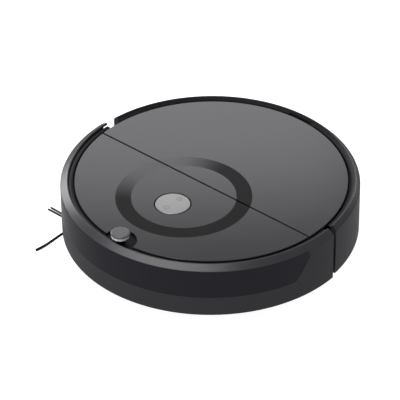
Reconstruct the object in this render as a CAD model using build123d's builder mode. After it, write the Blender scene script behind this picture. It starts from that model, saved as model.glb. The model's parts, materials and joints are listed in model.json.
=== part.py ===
from build123d import *
import math
import os

os.makedirs("parts", exist_ok=True)

# ---------------------------------------------------------------------------
# Driving dimensions, in millimetres.
# The origin is on the floor under the body's axis: +X forward, +Y left, +Z up.
# ---------------------------------------------------------------------------
BODY_R = 172.5            # outside of the rear wall
BUMPER_R = 175.0          # outside of the bumper
CREST_R = 166.6           # highest circle of the rim
LEDGE_R = 160.4           # inner edge of the ring ledge, beside the groove around the plates
PLATE_R = 158.4           # top plates
FRONT_WALL_R = 166.0      # wall that stands behind the bumper
WALL_T = 2.2
FLOOR_Z = 9.0             # underside of the chassis
FLOOR_T = 2.4
FLAT_R = 148.0            # flat part of the underside
WALL_LOW_Z = 17.3
WALL_TOP_Z = 77.5
LEDGE_Z = 79.5
GROOVE_Z = 76.4
BEACON_FLOOR_Z = 78.5
PLATE_TOP_Z = 80.5
CREST_Z = 82.8
LID_LINE_X = 14.4         # centre of the gap between the two top plates
LID_EDGE_X = LID_LINE_X - 0.8
FRONT_EDGE_X = LID_LINE_X + 0.8
BUMPER_END_X = {1: -9.0, -1: -2.0}      # where the bumper stops, left (1) and right (-1)
REAR_END_X = {1: -17.0, -1: -19.5}      # where the rear wall starts
WINDOW_LOW_Z = 41.7

HINGE_X, HINGE_Z = 18.4, 76.8
HINGE_YS = (-60.0, 60.0)
PIN_R = 1.0
RUNNING_FIT = 0.05

BUTTON_X, BUTTON_R = 67.0, 20.0
BEACON_X, BEACON_R = 155.3, 11.0
RECESS_X, RECESS_R = 157.5, 20.0

BRUSH_X, BRUSH_Z, BRUSH_R, BRUSH_HALF = -38.0, 19.0, 18.0, 78.0
CHAMBER_R, CHAMBER_T, CHAMBER_HALF = 20.6, 2.0, 80.0
GEAR_Y0, GEAR_Y1 = 84.0, 89.0
BOX_Y0, BOX_Y1 = 82.2, 92.4
GEAR_MODULE = 1.0
BRUSH_TEETH, IDLER_TEETH, PINION_TEETH = 16, 24, 12
IDLER_X, IDLER_Z = BRUSH_X - 6.0, BRUSH_Z + math.sqrt(20.0**2 - 6.0**2)
PINION_X, PINION_Z = IDLER_X + 9.0, IDLER_Z + math.sqrt(18.0**2 - 9.0**2)

WHEEL_R, WHEEL_Y0, WHEEL_Y1, WHEEL_Z = 35.0, 97.0, 119.0, 35.0
PIVOT_X, PIVOT_Z, PIVOT_R = 52.0, 36.0, 2.5
ARM_Y0, ARM_Y1 = 75.4, 94.6

CASTER_X, CASTER_TRAIL, CASTER_R = 130.0, 5.0, 12.0
SIDE_X, SIDE_Y, SIDE_ARM_R = 93.3, -107.4, 71.7
SIDE_ARM_DEG = -21.1

BIN_X0, BIN_X1, BIN_HALF = -124.2, -65.8, 70.2
BIN_Z0, BIN_Z1 = 14.0, 68.0
FAN_X, FAN_Y, FAN_R = -90.0, 100.0, 25.0

SPRING_Y, SPRING_Z = 70.0, 45.0
SWITCH_Y = 84.0

SCREW_R = 157.0
SCREW_AZIMUTHS = (20, 63, 112, 152, -152, -112, -66, -20)


# ---------------------------------------------------------------------------
# Helpers: each one adds to (or cuts from) the part that is being built.
# ---------------------------------------------------------------------------
def block(x0, x1, y0, y1, z0, z1, mode=Mode.ADD):
    with Locations(((x0 + x1) / 2, (y0 + y1) / 2, (z0 + z1) / 2)):
        Box(x1 - x0, y1 - y0, z1 - z0, mode=mode)


def rounded_block(x0, x1, y0, y1, z0, z1, corner, mode=Mode.ADD):
    with BuildSketch(Plane.XY.offset(z0)) as outline:
        with Locations(((x0 + x1) / 2, (y0 + y1) / 2)):
            RectangleRounded(x1 - x0, y1 - y0, corner)
    extrude(outline.sketch, amount=z1 - z0, mode=mode)


def post(x, y, z0, z1, radius, mode=Mode.ADD):
    with Locations((x, y, (z0 + z1) / 2)):
        Cylinder(radius, z1 - z0, mode=mode)


def bar_y(x, z, y0, y1, radius, mode=Mode.ADD):
    with Locations((x, (y0 + y1) / 2, z)):
        Cylinder(radius, y1 - y0, rotation=(90, 0, 0), mode=mode)


def bar_x(y, z, x0, x1, radius, mode=Mode.ADD):
    with Locations(((x0 + x1) / 2, y, z)):
        Cylinder(radius, x1 - x0, rotation=(0, 90, 0), mode=mode)


def ring(x, y, z0, z1, inner, outer, mode=Mode.ADD):
    with BuildSketch(Plane.XY.offset(z0)) as outline:
        with Locations((x, y)):
            Circle(outer)
            Circle(inner, mode=Mode.SUBTRACT)
    extrude(outline.sketch, amount=z1 - z0, mode=mode)


def lathe(points, mode=Mode.ADD):
    """Turn (radius, height) points about the body's axis."""
    with BuildSketch(Plane.XZ) as outline:
        with BuildLine():
            Polyline(*points, close=True)
        make_face()
    revolve(outline.sketch, axis=Axis.Z, mode=mode)


def lathe_at(x, y, points, mode=Mode.ADD):
    """Turn (radius, height) points about an upright axis at x, y."""
    with BuildSketch(Plane((x, y, 0), x_dir=(1, 0, 0), z_dir=(0, -1, 0))) as outline:
        with BuildLine():
            Polyline(*points, close=True)
        make_face()
    revolve(outline.sketch, axis=Axis((x, y, 0), (0, 0, 1)), mode=mode)


def lathe_y(x, z, points, mode=Mode.ADD):
    """Turn (y, radius) points about an axle along Y at x, z."""
    with BuildSketch(Plane((x, 0, z), x_dir=(0, 1, 0), z_dir=(1, 0, 0))) as outline:
        with BuildLine():
            Polyline(*points, close=True)
        make_face()
    revolve(outline.sketch, axis=Axis((x, 0, z), (0, 1, 0)), mode=mode)


def slab(points, z0, z1, mode=Mode.ADD):
    """Extrude (x, y) points upward."""
    with BuildSketch(Plane.XY.offset(z0)) as outline:
        with BuildLine():
            Polyline(*points, close=True)
        make_face()
    extrude(outline.sketch, amount=z1 - z0, mode=mode)


def side_slab(points, y0, y1, mode=Mode.ADD):
    """Extrude (x, z) points from y0 to y1."""
    with BuildSketch(Plane.XZ.offset(-y1)) as outline:
        with BuildLine():
            Polyline(*points, close=True)
        make_face()
    extrude(outline.sketch, amount=y1 - y0, mode=mode)


def polar(radius, azimuth):
    """Return x, y of a point at a radius and an azimuth in degrees."""
    angle = math.radians(azimuth)
    return radius * math.cos(angle), radius * math.sin(angle)


def underside_z(radius):
    """Return the height of the sloped underside at a radius."""
    if radius <= FLAT_R:
        return FLOOR_Z
    return FLOOR_Z + (radius - FLAT_R) * (17.0 - FLOOR_Z) / (171.8 - FLAT_R)


def gear_outline(teeth, tooth_azimuth, backlash=0.16):
    """Return the outline of an involute spur gear, with one tooth centred on an azimuth."""
    pitch_r = GEAR_MODULE * teeth / 2
    pressure = math.radians(20)
    base_r = pitch_r * math.cos(pressure)
    tip_r = pitch_r + 0.95 * GEAR_MODULE
    root_r = pitch_r - 1.25 * GEAR_MODULE
    involute = math.tan(pressure) - pressure
    half_tooth = math.pi / (2 * teeth) - backlash / (2 * pitch_r)
    steps = 5
    points = []
    for tooth in range(teeth):
        centre = math.radians(tooth_azimuth) + 2 * math.pi * tooth / teeth
        flank = []
        start_r = max(base_r, root_r)
        for step in range(steps + 1):
            radius = start_r + (tip_r - start_r) * step / steps
            turn = math.acos(min(1.0, base_r / radius))
            spread = half_tooth + involute - (math.tan(turn) - turn)
            flank.append((radius, spread))
        root_spread = flank[0][1]
        if root_r < base_r:
            flank.insert(0, (root_r, root_spread))
        for radius, spread in flank:
            points.append((radius * math.cos(centre - spread), radius * math.sin(centre - spread)))
        for radius, spread in reversed(flank):
            points.append((radius * math.cos(centre + spread), radius * math.sin(centre + spread)))
    return points


def spur_gear(x, z, teeth, tooth_azimuth, y0, y1):
    outline = gear_outline(teeth, tooth_azimuth)
    side_slab([(x + px, z + pz) for px, pz in outline], y0, y1)


def coil(x, y, z, length, radius, wire, turns, direction):
    """Add a coil spring that starts at x, y, z."""
    with BuildLine() as path:
        Helix(pitch=length / turns, height=length, radius=radius, center=(x, y, z), direction=direction)
    start = path.line @ 0
    heading = path.line % 0
    with BuildSketch(Plane(origin=start, z_dir=heading)) as section:
        Circle(wire / 2)
    sweep(section.sketch, path=path.line)


# ---------------------------------------------------------------------------
# Base chassis: floor, wheel wells, brush chamber, sockets, posts and bosses
# ---------------------------------------------------------------------------
with BuildPart() as base_chassis:
    lathe([(0, FLOOR_Z), (FLAT_R, FLOOR_Z), (171.8, 17.0), (164.0, 17.0),
           (147.3, FLOOR_Z + FLOOR_T), (0, FLOOR_Z + FLOOR_T)])
    ring(0, 0, 14.0, 24.0, 161.2, 163.7)
    # the floor is trimmed back under the bumper
    with BuildSketch(Plane.XY.offset(5.0)) as bumper_side:
        Circle(180.0)
        Circle(FRONT_WALL_R, mode=Mode.SUBTRACT)
        for side, end_x in REAR_END_X.items():
            with Locations((end_x - 100.0, side * 100.0)):
                Rectangle(200.0, 200.0, mode=Mode.SUBTRACT)
    extrude(bumper_side.sketch, amount=20.0, mode=Mode.SUBTRACT)
    # wheel wells
    for side in (-1, 1):
        y_in, y_out = side * 95.0, side * 123.5
        low, high = min(y_in, y_out), max(y_in, y_out)
        block(-41.0, 45.0, low, high, 11.0, 73.3)
        inner_low, inner_high = sorted((side * 90.0, side * 121.5))
        block(-39.0, 43.0, inner_low, inner_high, 5.0, 71.3, Mode.SUBTRACT)
        arm_low, arm_high = sorted((side * 66.0, side * 97.0))
        block(-17.0, 40.0, arm_low, arm_high, 5.0, 12.0, Mode.SUBTRACT)
        # spring tower above the suspension arm
        tower_low, tower_high = sorted((side * 78.0, side * 96.0))
        block(6.0, 28.0, tower_low, tower_high, 71.3, 73.3)
        # ears that hold the suspension pin
        for ear in (71.0, 95.0):
            ear_low, ear_high = sorted((side * ear, side * (ear + 4.0)))
            block(46.0, 58.0, ear_low, ear_high, 11.0, 36.0)
            bar_y(PIVOT_X, PIVOT_Z, ear_low, ear_high, 6.0)
        pin_low, pin_high = sorted((side * 70.5, side * 99.5))
        bar_y(PIVOT_X, PIVOT_Z, pin_low, pin_high, PIVOT_R, Mode.SUBTRACT)
    # brush chamber: an open-bottomed half tube with end walls
    block(BRUSH_X - 22.6, BRUSH_X + 22.6, -82.0, 82.0, 10.0, BRUSH_Z)
    bar_y(BRUSH_X, BRUSH_Z, -82.0, 82.0, CHAMBER_R + CHAMBER_T)
    bar_y(BRUSH_X, BRUSH_Z, -CHAMBER_HALF, CHAMBER_HALF, CHAMBER_R, Mode.SUBTRACT)
    block(BRUSH_X - CHAMBER_R, BRUSH_X + CHAMBER_R, -CHAMBER_HALF, CHAMBER_HALF,
          -10.0, BRUSH_Z, Mode.SUBTRACT)
    block(-70.0, 0.0, -90.0, 90.0, -10.0, FLOOR_Z, Mode.SUBTRACT)
    # dust passage through the chamber roof, shaft holes through its ends
    block(-58.0, -44.0, -35.0, 35.0, 28.0, 46.0, Mode.SUBTRACT)
    bar_y(BRUSH_X, BRUSH_Z, -90.0, 90.0, 4.3, Mode.SUBTRACT)
    # floor under the gearbox is open
    block(-57.0, -23.0, BOX_Y0 - 0.2, BOX_Y1 + 0.2, 5.0, 12.0, Mode.SUBTRACT)
    # caster pocket
    post(CASTER_X, 0, 10.0, 31.0, 23.0)
    post(CASTER_X, 0, 0.0, 28.6, 21.0, Mode.SUBTRACT)
    post(CASTER_X, 0, 30.0, 41.0, 7.0)
    post(CASTER_X, 0, 28.0, 40.0, 3.5 + RUNNING_FIT, Mode.SUBTRACT)
    # seat and shaft hole of the side-brush motor
    post(SIDE_X, SIDE_Y, 10.0, 14.6, 9.0)
    post(SIDE_X, SIDE_Y, 5.0, 20.0, 5.0, Mode.SUBTRACT)
    # battery opening
    rounded_block(18.0, 94.0, -63.0, 63.0, 5.0, 12.0, 4.0, Mode.SUBTRACT)
    # circuit-board posts
    for post_x, post_y in ((9.0, 58.0), (9.0, -58.0), (102.0, 60.0), (102.0, -60.0)):
        post(post_x, post_y, 11.0, 42.0, 2.6)
    # screw bosses with counterbores
    for azimuth in SCREW_AZIMUTHS:
        sx, sy = polar(SCREW_R, azimuth)
        low = underside_z(SCREW_R - 4.2)
        post(sx, sy, low + 0.6, 17.0, 4.2)
    for azimuth in SCREW_AZIMUTHS:
        sx, sy = polar(SCREW_R, azimuth)
        post(sx, sy, 5.0, 14.2, 3.2, Mode.SUBTRACT)
        post(sx, sy, 5.0, 18.0, 1.6, Mode.SUBTRACT)
    # windows for the cliff sensors, the charging contacts and the floor sensor
    for azimuth, radius in ((20, 140), (-20, 140), (62, 138), (-72, 140)):
        sx, sy = polar(radius, azimuth)
        with BuildSketch(Plane.XY.offset(5.0)) as slot:
            with Locations(Location((sx, sy, 0), (0, 0, azimuth + 90))):
                RectangleRounded(20.0, 9.0, 2.0)
        extrude(slot.sketch, amount=8.0, mode=Mode.SUBTRACT)
    for side in (-1, 1):
        with BuildSketch(Plane.XY.offset(5.0)) as slot:
            with Locations((112.0, side * 42.0)):
                RectangleRounded(12.0, 20.0, 3.0)
        extrude(slot.sketch, amount=8.0, mode=Mode.SUBTRACT)
    post(1.0, -44.0, 5.0, 12.0, 8.0, Mode.SUBTRACT)
base_chassis.part.label = "base_chassis"
export_step(base_chassis.part, "parts/base_chassis.step")

# ---------------------------------------------------------------------------
# Upper shell: rear wall and rim, inner front wall, ring ledge, deck, bin well
# ---------------------------------------------------------------------------
with BuildPart() as upper_shell:
    lathe([(BODY_R - WALL_T, WALL_LOW_Z), (BODY_R, WALL_LOW_Z), (BODY_R, 77.0), (172.35, 77.5), (172.0, 78.0),
           (171.2, 78.8), (168.2, 81.9), (167.6, 82.4), (167.1, 82.7), (CREST_R, CREST_Z), (166.2, 82.7),
           (165.95, 82.4), (165.2, LEDGE_Z), (LEDGE_R, LEDGE_Z), (LEDGE_R, GROOVE_Z), (158.0, GROOVE_Z),
           (158.0, 78.0), (153.0, 78.0), (153.0, 75.2), (BODY_R - WALL_T, 75.2)])
    for side, end_x in REAR_END_X.items():
        low, high = sorted((0.0, side * 200.0))
        block(end_x, 200.0, low, high, 0.0, 100.0, Mode.SUBTRACT)
    # the front half is narrower, and the bumper slides over it
    with BuildSketch(Plane.XZ) as front_profile:
        with BuildLine():
            Polyline((FRONT_WALL_R - 2.0, WALL_LOW_Z), (FRONT_WALL_R, WALL_LOW_Z), (FRONT_WALL_R, 78.2),
                     (164.4, LEDGE_Z), (LEDGE_R, LEDGE_Z), (LEDGE_R, GROOVE_Z), (158.0, GROOVE_Z),
                     (158.0, 78.0), (153.0, 78.0), (153.0, 75.2), (FRONT_WALL_R - 2.0, 75.2), close=True)
        make_face()
    turn = 97.2
    revolve(front_profile.sketch.rotate(Axis.Z, -turn), axis=Axis.Z, revolution_arc=2 * turn)
    # end panels where the rear wall stops
    for side, end_x in REAR_END_X.items():
        low, high = sorted((side * 164.2, side * 171.4))
        block(end_x - 2.2, end_x, low, high, WALL_LOW_Z, 76.6)
    # side pockets that let the ends of the bumper travel back
    for side, end_x in REAR_END_X.items():
        stop_x = BUMPER_END_X[side] + 1.0
        with BuildSketch(Plane.XY.offset(62.4)) as pocket_body:
            Circle(FRONT_WALL_R)
            Circle(157.0, mode=Mode.SUBTRACT)
            with BuildSketch(mode=Mode.INTERSECT):
                with Locations(((end_x + stop_x) / 2, side * 165.0)):
                    Rectangle(stop_x - end_x + 4.0, 40.0)
        extrude(pocket_body.sketch, amount=13.6)
        with BuildSketch(Plane.XY.offset(64.0)) as pocket_room:
            Circle(FRONT_WALL_R + 0.5)
            Circle(158.6, mode=Mode.SUBTRACT)
            with BuildSketch(mode=Mode.INTERSECT):
                with Locations(((end_x + stop_x) / 2, side * 165.0)):
                    Rectangle(stop_x - end_x, 40.0)
        extrude(pocket_room.sketch, amount=30.0, mode=Mode.SUBTRACT)
    # floor of the beacon recess
    with BuildSketch(Plane.XY.offset(76.2)) as beacon_floor:
        with Locations((RECESS_X, 0)):
            Circle(RECESS_R + 1.5)
        with BuildSketch(mode=Mode.INTERSECT):
            Circle(160.0)
    extrude(beacon_floor.sketch, amount=1.8)
    with BuildSketch(Plane.XY.offset(77.0)) as beacon_step:
        with Locations((RECESS_X, 0)):
            Circle(RECESS_R - 0.3)
        with BuildSketch(mode=Mode.INTERSECT):
            Circle(160.0)
    extrude(beacon_step.sketch, amount=BEACON_FLOOR_Z - 77.0)
    post(BEACON_X, 0, BEACON_FLOOR_Z, 90.0, 7.4, Mode.SUBTRACT)
    # deck under the lid
    with BuildSketch(Plane.XY.offset(74.2)) as deck:
        Circle(154.0)
        with Locations((104.0, 0)):
            Rectangle(160.0, 400.0, mode=Mode.SUBTRACT)
    extrude(deck.sketch, amount=2.0)
    for hinge_y in HINGE_YS:
        block(3.5, 30.0, hinge_y - 9.0, hinge_y + 9.0, 70.0, 80.0, Mode.SUBTRACT)
    # finger pocket behind the lid
    block(-170.0, -146.0, -18.0, 18.0, 68.0, 76.3)
    block(-164.2, -148.0, -16.0, 16.0, 70.0, 90.0, Mode.SUBTRACT)
    # dust-bin well
    rounded_block(-126.4, -63.6, -72.4, 72.4, 12.2, 76.2, 4.0)
    rounded_block(-124.8, -65.2, -70.8, 70.8, 5.0, 90.0, 3.0, Mode.SUBTRACT)
    block(-68.0, -62.0, -37.0, 37.0, 38.2, 60.0, Mode.SUBTRACT)
    block(-108.0, -76.0, 68.0, 75.0, 46.0, 62.0, Mode.SUBTRACT)
    # grip grooves on the deck
    for groove in range(5):
        gx = -52.0 + 9.0 * groove
        block(gx, gx + 2.0, -26.0, 26.0, 75.6, 77.0, Mode.SUBTRACT)
    # screw bosses
    for azimuth in SCREW_AZIMUTHS:
        sx, sy = polar(SCREW_R, azimuth)
        post(sx, sy, 17.4, 77.0, 4.0)
    for azimuth in SCREW_AZIMUTHS:
        sx, sy = polar(SCREW_R, azimuth)
        post(sx, sy, 10.0, 34.0, 1.6, Mode.SUBTRACT)
    # opening for the exhaust grille
    with BuildSketch(Plane.XY.offset(27.0)) as grille_hole:
        with BuildLine():
            Polyline((0, 0), polar(190, 133.6), polar(190, 146.4), close=True)
        make_face()
        Circle(165.0, mode=Mode.SUBTRACT)
    extrude(grille_hole.sketch, amount=15.0, mode=Mode.SUBTRACT)
    # pockets for the bumper springs
    for side in (-1, 1):
        bar_x(side * SPRING_Y, SPRING_Z, 134.0, 153.0, 7.0)
    with BuildSketch(Plane.XY.offset(30.0)) as pocket_trim:
        Circle(190.0)
        Circle(FRONT_WALL_R, mode=Mode.SUBTRACT)
        with Locations((-100.0, 0)):
            Rectangle(400.0, 400.0, mode=Mode.SUBTRACT)
    extrude(pocket_trim.sketch, amount=30.0, mode=Mode.SUBTRACT)
    for side in (-1, 1):
        bar_x(side * SPRING_Y, SPRING_Z, 136.0, 160.0, 5.2, Mode.SUBTRACT)
    # slots for the bumper switches
    for side in (-1, 1):
        middle = side * SWITCH_Y
        block(136.5, 170.0, middle - 4.0, middle + 4.0, 50.0, 56.0, Mode.SUBTRACT)
upper_shell.part.label = "upper_shell"
export_step(upper_shell.part, "parts/upper_shell.step")

# ---------------------------------------------------------------------------
# Front top plate, with the ears of the lid hinge
# ---------------------------------------------------------------------------
with BuildPart() as front_top_plate:
    with BuildSketch(Plane.XY.offset(78.0)) as plate:
        Circle(PLATE_R)
        with Locations((FRONT_EDGE_X - 200.0, 0)):
            Rectangle(400.0, 400.0, mode=Mode.SUBTRACT)
        with Locations((RECESS_X, 0)):
            Circle(RECESS_R, mode=Mode.SUBTRACT)
        with Locations((BUTTON_X, 0)):
            Circle(BUTTON_R + 1.0, mode=Mode.SUBTRACT)
    extrude(plate.sketch, amount=PLATE_TOP_Z - 78.0)
    chamfer(front_top_plate.faces().sort_by(Axis.Z)[-1].edges(), length=0.45)
    for hinge_y in HINGE_YS:
        block(14.0, 22.5, hinge_y - 5.3, hinge_y + 5.3, 77.5, 79.3, Mode.SUBTRACT)
        for ear_y in (hinge_y - 8.0, hinge_y + 5.4):
            block(16.0, 21.5, ear_y, ear_y + 2.6, 74.4, 78.2)
        bar_y(HINGE_X, HINGE_Z, hinge_y - 9.0, hinge_y + 9.0, PIN_R + RUNNING_FIT, Mode.SUBTRACT)
    # stiffening ribs
    ring(BUTTON_X, 0, 76.4, 78.1, 27.0, 28.6)
    for rib_y in (-96.0, -32.0, 32.0, 96.0):
        block(34.0 if abs(rib_y) > 50 else 100.0, 118.0, rib_y - 0.8, rib_y + 0.8, 76.4, 78.1)
front_top_plate.part.label = "front_top_plate"
export_step(front_top_plate.part, "parts/front_top_plate.step")

# ---------------------------------------------------------------------------
# Button: bezel with trunnion sockets, board with two switches, rocker cap
# ---------------------------------------------------------------------------
ROCKER_Z = 76.4
PLUNGER_X = 11.0

with BuildPart() as button_bezel:
    ring(BUTTON_X, 0, 72.4, 77.9, 21.2, 24.0)
    post(BUTTON_X, 0, 72.4, 74.0, 22.0)
    for side in (-1, 1):
        low, high = sorted((side * 15.1, side * 19.2))
        block(BUTTON_X - 3.0, BUTTON_X + 3.0, low, high, 73.5, 78.0)
        low, high = sorted((side * 15.0, side * 19.0))
        bar_y(BUTTON_X, ROCKER_Z, low, high, PIN_R + RUNNING_FIT, Mode.SUBTRACT)
        centre = BUTTON_X + side * PLUNGER_X
        block(centre - 3.6, centre + 3.6, -3.6, 3.6, 72.0, 75.0, Mode.SUBTRACT)
button_bezel.part.label = "button_bezel"
export_step(button_bezel.part, "parts/button_bezel.step")

with BuildPart() as button_board:
    post(BUTTON_X, 0, 70.6, 72.2, 18.0)
    for side in (-1, 1):
        centre = BUTTON_X + side * PLUNGER_X
        block(centre - 3.0, centre + 3.0, -3.0, 3.0, 72.2, 75.0)
        post(centre, 0, 75.0, 75.6, 1.6)
button_board.part.label = "button_board"
export_step(button_board.part, "parts/button_board.step")

with BuildPart() as rocker_cap:
    lathe_at(BUTTON_X, 0, [(0, 79.0), (BUTTON_R, 79.0), (BUTTON_R, 80.4), (BUTTON_R - 0.4, 80.75),
                           (BUTTON_R - 1.0, 80.9), (0, 81.1)])
    block(BUTTON_X - 2.0, BUTTON_X + 2.0, -14.6, 14.6, 75.2, 79.2)
    bar_y(BUTTON_X, ROCKER_Z, -18.6, 18.6, PIN_R)
    for side in (-1, 1):
        post(BUTTON_X + side * PLUNGER_X, 0, 76.3, 79.2, 2.0)
rocker_cap.part.label = "rocker_cap"
export_step(rocker_cap.part, "parts/rocker_cap.step")

# ---------------------------------------------------------------------------
# Infrared beacon on the front edge
# ---------------------------------------------------------------------------
with BuildPart() as beacon_window:
    ring(BEACON_X, 0, BEACON_FLOOR_Z, 84.2, 4.0, 5.6)
beacon_window.part.label = "beacon_window"
export_step(beacon_window.part, "parts/beacon_window.step")

with BuildPart() as beacon_mirror:
    lathe_at(BEACON_X, 0, [(0, 84.2), (5.8, 84.2), (7.4, 85.2), (9.0, 86.8), (9.9, 88.2), (0, 88.2)])
beacon_mirror.part.label = "beacon_mirror"
export_step(beacon_mirror.part, "parts/beacon_mirror.step")

with BuildPart() as beacon_cap:
    lathe_at(BEACON_X, 0, [(0, 88.2), (10.5, 88.2), (BEACON_R, 88.6), (BEACON_R, 89.4), (10.6, 90.0),
                           (9.8, 90.4), (9.0, 90.5), (0, 90.5)])
beacon_cap.part.label = "beacon_cap"
export_step(beacon_cap.part, "parts/beacon_cap.step")

# ---------------------------------------------------------------------------
# Bumper and its infrared window
# ---------------------------------------------------------------------------
def window_region(margin, inner_r, outer_r, mode):
    """Add or cut the window band: a ring part with slanted, rounded ends."""
    with BuildSketch(Plane.XY.offset(WINDOW_LOW_Z + 0.2 - margin)) as band:
        Circle(outer_r)
        Circle(inner_r, mode=Mode.SUBTRACT)
    low = WINDOW_LOW_Z + 0.2 - margin
    high = WALL_TOP_Z - 0.3 + margin
    with BuildSketch(Plane.XZ.offset(-200.0)) as ends:
        with BuildLine():
            Polyline((23.4 - margin, high), (49.4 - margin, low), (200.0, low), (200.0, high), close=True)
        make_face()
        corner = ends.vertices().group_by(Axis.Z)[0].sort_by(Axis.X)[0]
        fillet(corner, radius=7.0)
    band_solid = extrude(band.sketch, amount=high - low, mode=Mode.PRIVATE)
    ends_solid = extrude(ends.sketch, amount=400.0, mode=Mode.PRIVATE)
    add(band_solid & ends_solid, mode=mode)


with BuildPart() as bumper_shell:
    # spring bosses, cut back to the inside of the wall
    for side in (-1, 1):
        bar_x(side * SPRING_Y, SPRING_Z, 155.0, 161.0, 4.2)
    ring(0, 0, SPRING_Z - 6.0, SPRING_Z + 6.0, 172.6, 190.0, Mode.SUBTRACT)
    lathe([(172.0, WALL_LOW_Z), (BUMPER_R, WALL_LOW_Z), (BUMPER_R, 77.2), (174.85, 77.6), (174.5, 77.95),
           (168.3, 82.0), (167.6, 82.4), (167.1, 82.7), (CREST_R, CREST_Z), (166.2, 82.7), (165.95, 82.4),
           (165.7, 79.9), (167.2, 79.9), (167.2, 80.8), (172.0, 77.4)])
    for side, end_x in BUMPER_END_X.items():
        low, high = sorted((0.0, side * 200.0))
        block(-200.0, end_x, low, high, 0.0, 100.0, Mode.SUBTRACT)
    window_region(0.2, 173.4, 180.0, Mode.SUBTRACT)
    # stiffening ribs on the inside
    for azimuth in range(-80, 81, 16):
        with BuildSketch(Plane.XY.offset(24.0)) as rib:
            with Locations(Location((*polar(171.6, azimuth), 0), (0, 0, azimuth))):
                Rectangle(2.0, 1.6)
        extrude(rib.sketch, amount=48.0)
bumper_shell.part.label = "bumper_shell"
export_step(bumper_shell.part, "parts/bumper_shell.step")

with BuildPart() as bumper_window:
    window_region(0.0, 173.45, BUMPER_R, Mode.ADD)
bumper_window.part.label = "bumper_window"
export_step(bumper_window.part, "parts/bumper_window.step")

with BuildPart() as bumper_springs:
    for side in (-1, 1):
        coil(136.5, side * SPRING_Y, SPRING_Z, 18.0, 3.4, 0.7, 6, (1, 0, 0))
bumper_springs.part.label = "bumper_springs"
export_step(bumper_springs.part, "parts/bumper_springs.step")

with BuildPart() as bumper_switches:
    for side in (-1, 1):
        middle = side * SWITCH_Y
        block(122.0, 135.6, middle - 5.0, middle + 5.0, 45.0, 61.0)
        block(135.0, 144.2, middle - 2.0, middle + 2.0, 51.5, 54.5)
bumper_switches.part.label = "bumper_switches"
export_step(bumper_switches.part, "parts/bumper_switches.step")

# ---------------------------------------------------------------------------
# Hinged rear lid and its pins
# ---------------------------------------------------------------------------
with BuildPart() as rear_lid:
    with BuildSketch(Plane.XY.offset(78.3)) as lid:
        Circle(PLATE_R)
        with Locations((LID_EDGE_X + 200.0, 0)):
            Rectangle(400.0, 400.0, mode=Mode.SUBTRACT)
    extrude(lid.sketch, amount=PLATE_TOP_Z - 78.3)
    chamfer(rear_lid.faces().sort_by(Axis.Z)[-1].edges(), length=0.45)
    # stiffening ribs under the lid
    with BuildSketch(Plane.XY.offset(76.7)) as ribs:
        Circle(146.0)
        Circle(144.4, mode=Mode.SUBTRACT)
        with Locations((LID_EDGE_X - 4.0 + 200.0, 0)):
            Rectangle(400.0, 400.0, mode=Mode.SUBTRACT)
        for rib_y in (-96.0, -32.0, 32.0, 96.0):
            with Locations((-50.0, rib_y)):
                Rectangle(80.0, 1.6)
    extrude(ribs.sketch, amount=1.7)
    block(-151.0, -148.4, -14.0, 14.0, 76.7, 78.4)
    for hinge_y in HINGE_YS:
        arm_y0, arm_y1 = hinge_y - 5.0, hinge_y + 5.0
        bar_y(HINGE_X, HINGE_Z, arm_y0, arm_y1, 2.2)
        side_slab([(HINGE_X - 1.2, HINGE_Z), (HINGE_X + 1.2, HINGE_Z), (HINGE_X + 2.7, HINGE_Z - 6.8),
                   (HINGE_X + 2.7, HINGE_Z - 8.0), (HINGE_X - 10.7, HINGE_Z - 8.0), (HINGE_X - 10.7, 78.4),
                   (HINGE_X - 8.3, 78.4), (HINGE_X - 8.3, HINGE_Z - 5.6), (HINGE_X + 0.3, HINGE_Z - 5.6)],
                  arm_y0, arm_y1)
        bar_y(HINGE_X, HINGE_Z, arm_y0 - 1.0, arm_y1 + 1.0, PIN_R, Mode.SUBTRACT)
rear_lid.part.label = "rear_lid"
export_step(rear_lid.part, "parts/rear_lid.step")

with BuildPart() as lid_hinge_pins:
    for hinge_y in HINGE_YS:
        bar_y(HINGE_X, HINGE_Z, hinge_y - 8.4, hinge_y + 8.4, PIN_R)
lid_hinge_pins.part.label = "lid_hinge_pins"
export_step(lid_hinge_pins.part, "parts/lid_hinge_pins.step")

# ---------------------------------------------------------------------------
# Dust bin: tub, cover with a handle, filter in its frame, inlet seal
# ---------------------------------------------------------------------------
with BuildPart() as bin_tub:
    rounded_block(BIN_X0, BIN_X1, -BIN_HALF, BIN_HALF, BIN_Z0, BIN_Z1, 2.4)
    rounded_block(BIN_X0 + 1.8, BIN_X1 - 1.8, -BIN_HALF + 1.8, BIN_HALF - 1.8, BIN_Z0 + 1.8, 80.0, 1.4,
                  Mode.SUBTRACT)
    block(BIN_X1 - 4.0, BIN_X1 + 2.0, -33.0, 33.0, 42.0, 57.0, Mode.SUBTRACT)
    # seat of the inlet seal
    block(BIN_X1 - 0.8, BIN_X1 + 2.0, -37.0, 37.0, 39.0, 60.0, Mode.SUBTRACT)
    block(-108.0, -76.0, BIN_HALF - 3.0, BIN_HALF + 2.0, 42.0, 62.0, Mode.SUBTRACT)
bin_tub.part.label = "bin_tub"
export_step(bin_tub.part, "parts/bin_tub.step")

with BuildPart() as bin_seal:
    block(BIN_X1 - 0.8, BIN_X1 + 0.3, -37.0, 37.0, 39.0, 60.0)
    block(BIN_X1 - 2.0, BIN_X1 + 2.0, -33.0, 33.0, 42.0, 57.0, Mode.SUBTRACT)
bin_seal.part.label = "bin_seal"
export_step(bin_seal.part, "parts/bin_seal.step")

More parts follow.
